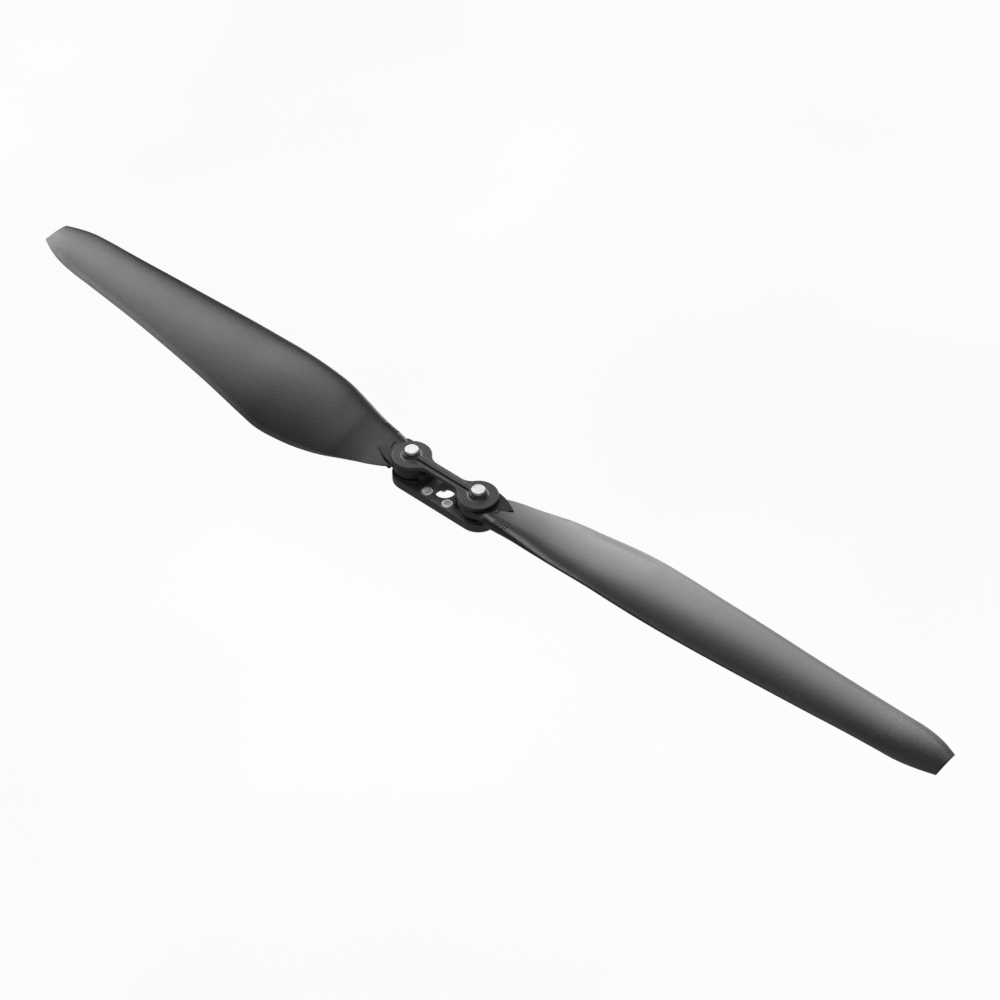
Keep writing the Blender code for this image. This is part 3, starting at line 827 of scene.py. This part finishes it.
# ---------------------------------------------------------------- mounting screws
def mount_screw(number, at):
    head_top = SCREW_SEAT_Z + SCREW_HEAD_H
    tip = SCREW_SEAT_Z - SCREW_LEN
    profile = [(1.05, tip), (1.4, tip + 0.35)]
    z = tip + 0.45
    while z < SCREW_SEAT_Z - 0.75:  # thread as plain rings, a crest and a root in each pitch
        profile += [(SCREW_R, z), (SCREW_R, z + 0.06),
                    (SCREW_ROOT_R, z + 0.25), (SCREW_ROOT_R, z + 0.31)]
        z += SCREW_PITCH
    profile += [(SCREW_R, z), (SCREW_R, SCREW_SEAT_Z - 0.1), (SCREW_R, SCREW_SEAT_Z + 0.05),
                (SCREW_HEAD_R, SCREW_SEAT_Z + 0.05, 0.12), (SCREW_HEAD_R, head_top - 0.28, 0.15),
                (SCREW_HEAD_R - 0.28, head_top, 0.15)]
    screw = lathe("mount_screw_%d_fine" % number, profile, at, 72)
    socket = hexagon(SOCKET_R, at)
    cut(screw, stack("cutter", [(socket, head_top - 1.0), (socket, head_top + 1)]))
    cut_turned(screw, [(1.25, head_top - 0.35), (1.75, head_top + 0.15)], at, 72)
    done(screw, "hub", SCREW_STEEL)


for number, at in enumerate(SCREWS, 1):
    mount_screw(number, at)

for helper in HELPERS:
    mesh = helper.data
    bpy.data.objects.remove(helper, do_unlink=True)
    bpy.data.meshes.remove(mesh)

# ---------------------------------------------------------------- camera (metres)
AZIMUTH, ELEVATION = math.radians(41.028), math.radians(43.911)
DISTANCE, SHIFT_RIGHT, SHIFT_DOWN = 1.0067, 0.02518, 0.00107
BASE_DROP = Vector((0.0, 0.0, MID_Z * MM))  # from heights above the base to the frame's heights

right = Vector((math.cos(AZIMUTH), math.sin(AZIMUTH), 0.0))
back = Vector((math.sin(AZIMUTH) * math.cos(ELEVATION), -math.cos(AZIMUTH) * math.cos(ELEVATION),
               math.sin(ELEVATION)))
up = back.cross(right)


def add_camera():
    lens = bpy.data.cameras.new("photo_camera")
    lens.sensor_width = 36.0
    lens.lens = 78.69
    lens.clip_start, lens.clip_end = 0.05, 50.0
    camera = bpy.data.objects.new("photo_camera", lens)
    pose = Matrix((right, up, back)).transposed().to_4x4()
    pose.translation = right * SHIFT_RIGHT - up * SHIFT_DOWN + back * DISTANCE - BASE_DROP
    camera.matrix_world = pose
    SCENE.collection.objects.link(camera)
    SCENE.camera = camera


add_camera()

# ---------------------------------------------------------------- floor and world (metres)
# Both read pale to the camera and much dimmer to the object, like a bright sweep well behind it.
FLOOR_R, FLOOR_Z = 4.0, -0.30


def floor_pale():
    """Glowing floor, clear from below."""
    net = material_net("floor_pale")
    shade = net.noise(net.coords(), scale=3.0)
    colour = net.mix(net.remap(shade, span=(0.3, 0.7), to=(0.0, 1.0)),
                     low=(0.955, 0.955, 0.955), high=(0.985, 0.985, 0.985))
    glow = net.add("Emission", {"Color": colour, "Strength": 1.0})
    dim = net.add("Emission", {"Color": (1.0, 1.0, 1.0), "Strength": 0.25})
    seen = net.add("MixShader", {0: net.add("LightPath").outputs["Is Camera Ray"],
                                 1: dim.outputs[0], 2: glow.outputs[0]})
    mixer = net.add("MixShader", {0: net.add("NewGeometry").outputs["Backfacing"],
                                  1: seen.outputs[0], 2: net.add("BsdfTransparent").outputs[0]})
    net.fill(net.nodes["Material Output"], {"Surface": mixer.outputs[0]})
    return net.owner


def add_floor():
    angles = [2 * math.pi * k / 96 for k in range(96)]
    mesh = bpy.data.meshes.new("floor")
    mesh.from_pydata([(FLOOR_R * math.cos(a), FLOOR_R * math.sin(a), FLOOR_Z) for a in angles],
                     [], [tuple(range(96))])
    mesh.materials.append(floor_pale())
    floor = bpy.data.objects.new("floor", mesh)
    SCENE.collection.objects.link(floor)


def add_world():
    world = bpy.data.worlds.new("studio")
    SCENE.world = world
    net = Net(world)
    camera_ray = net.add("LightPath").outputs["Is Camera Ray"]
    level = net.remap(camera_ray, span=(0.0, 1.0), to=(0.04, 0.98))
    net.fill(net.nodes["Background"], {"Color": (1.0, 1.0, 1.0), "Strength": level})


add_floor()
add_world()

# ---------------------------------------------------------------- lights (metres)
# Most soft boxes stand behind the propeller or to its left as the camera sees it, with a few
# overhead, so that light slides along the upper faces of both blades. Two weak fills come last.
# Each row: name, place, radius, brightness per area.
SOFTBOXES = (
    ("left_high_a", (-0.801, 0.316, 0.974), 0.240, 2.80),
    ("left_low_a", (-0.544, 0.042, 0.251), 0.111, 2.69),
    ("far_rim", (-0.493, 1.189, -0.182), 0.240, 2.22),
    ("behind_low_a", (0.000, 1.089, 0.153), 0.295, 2.20),
    ("behind_mid_a", (-0.008, 0.767, 0.367), 0.157, 2.15),
    ("left_low_b", (-0.565, 0.121, 0.162), 0.111, 1.76),
    ("behind_mid_b", (-0.225, 0.618, 0.239), 0.136, 1.50),
    ("left_high_b", (-0.769, 0.020, 1.048), 0.240, 1.50),
    ("left_mid", (-0.920, 0.247, 0.550), 0.295, 1.33),
    ("behind_low_b", (-0.545, 0.943, 0.153), 0.295, 1.33),
    ("overhead_near", (0.104, -0.285, 1.057), 0.295, 1.24),
    ("corner_mid", (-0.436, 0.252, 0.486), 0.136, 0.68),
    ("behind_low_c", (-0.127, 0.550, 0.204), 0.111, 0.67),
    ("left_front", (-0.412, -0.080, 0.428), 0.111, 0.65),
    ("overhead_far_a", (-0.251, 0.170, 1.057), 0.295, 0.44),
    ("overhead_far_b", (0.084, 0.291, 1.057), 0.295, 0.40),
    ("behind_mid_c", (-0.172, 0.473, 0.486), 0.136, 0.40),
    ("camera_side_fill", tuple(back * 1.6), 0.5, 0.6),
    ("right_fill", (1.3, -0.2, 0.6), 0.45, 0.35),
)


def softbox(name, place, radius, level):
    """Round soft light aimed at the hub and hidden from the camera."""
    data = bpy.data.lights.new(name, "AREA")
    data.shape = "DISK"
    data.size = 2 * radius
    data.energy = 4.0 * math.pi * radius**2 * level
    light = bpy.data.objects.new(name, data)
    outward = Vector(place)
    light.location = outward - BASE_DROP
    light.rotation_mode = "QUATERNION"
    light.rotation_quaternion = outward.to_track_quat("Z", "Y")
    light.visible_camera = False
    SCENE.collection.objects.link(light)


for row in SOFTBOXES:
    softbox(*row)

SCENE.view_settings.view_transform = "Standard"
SCENE.view_settings.look = "None"
SCENE.view_settings.exposure = 0.0
SCENE.view_settings.gamma = 1.0

bpy.context.view_layer.update()
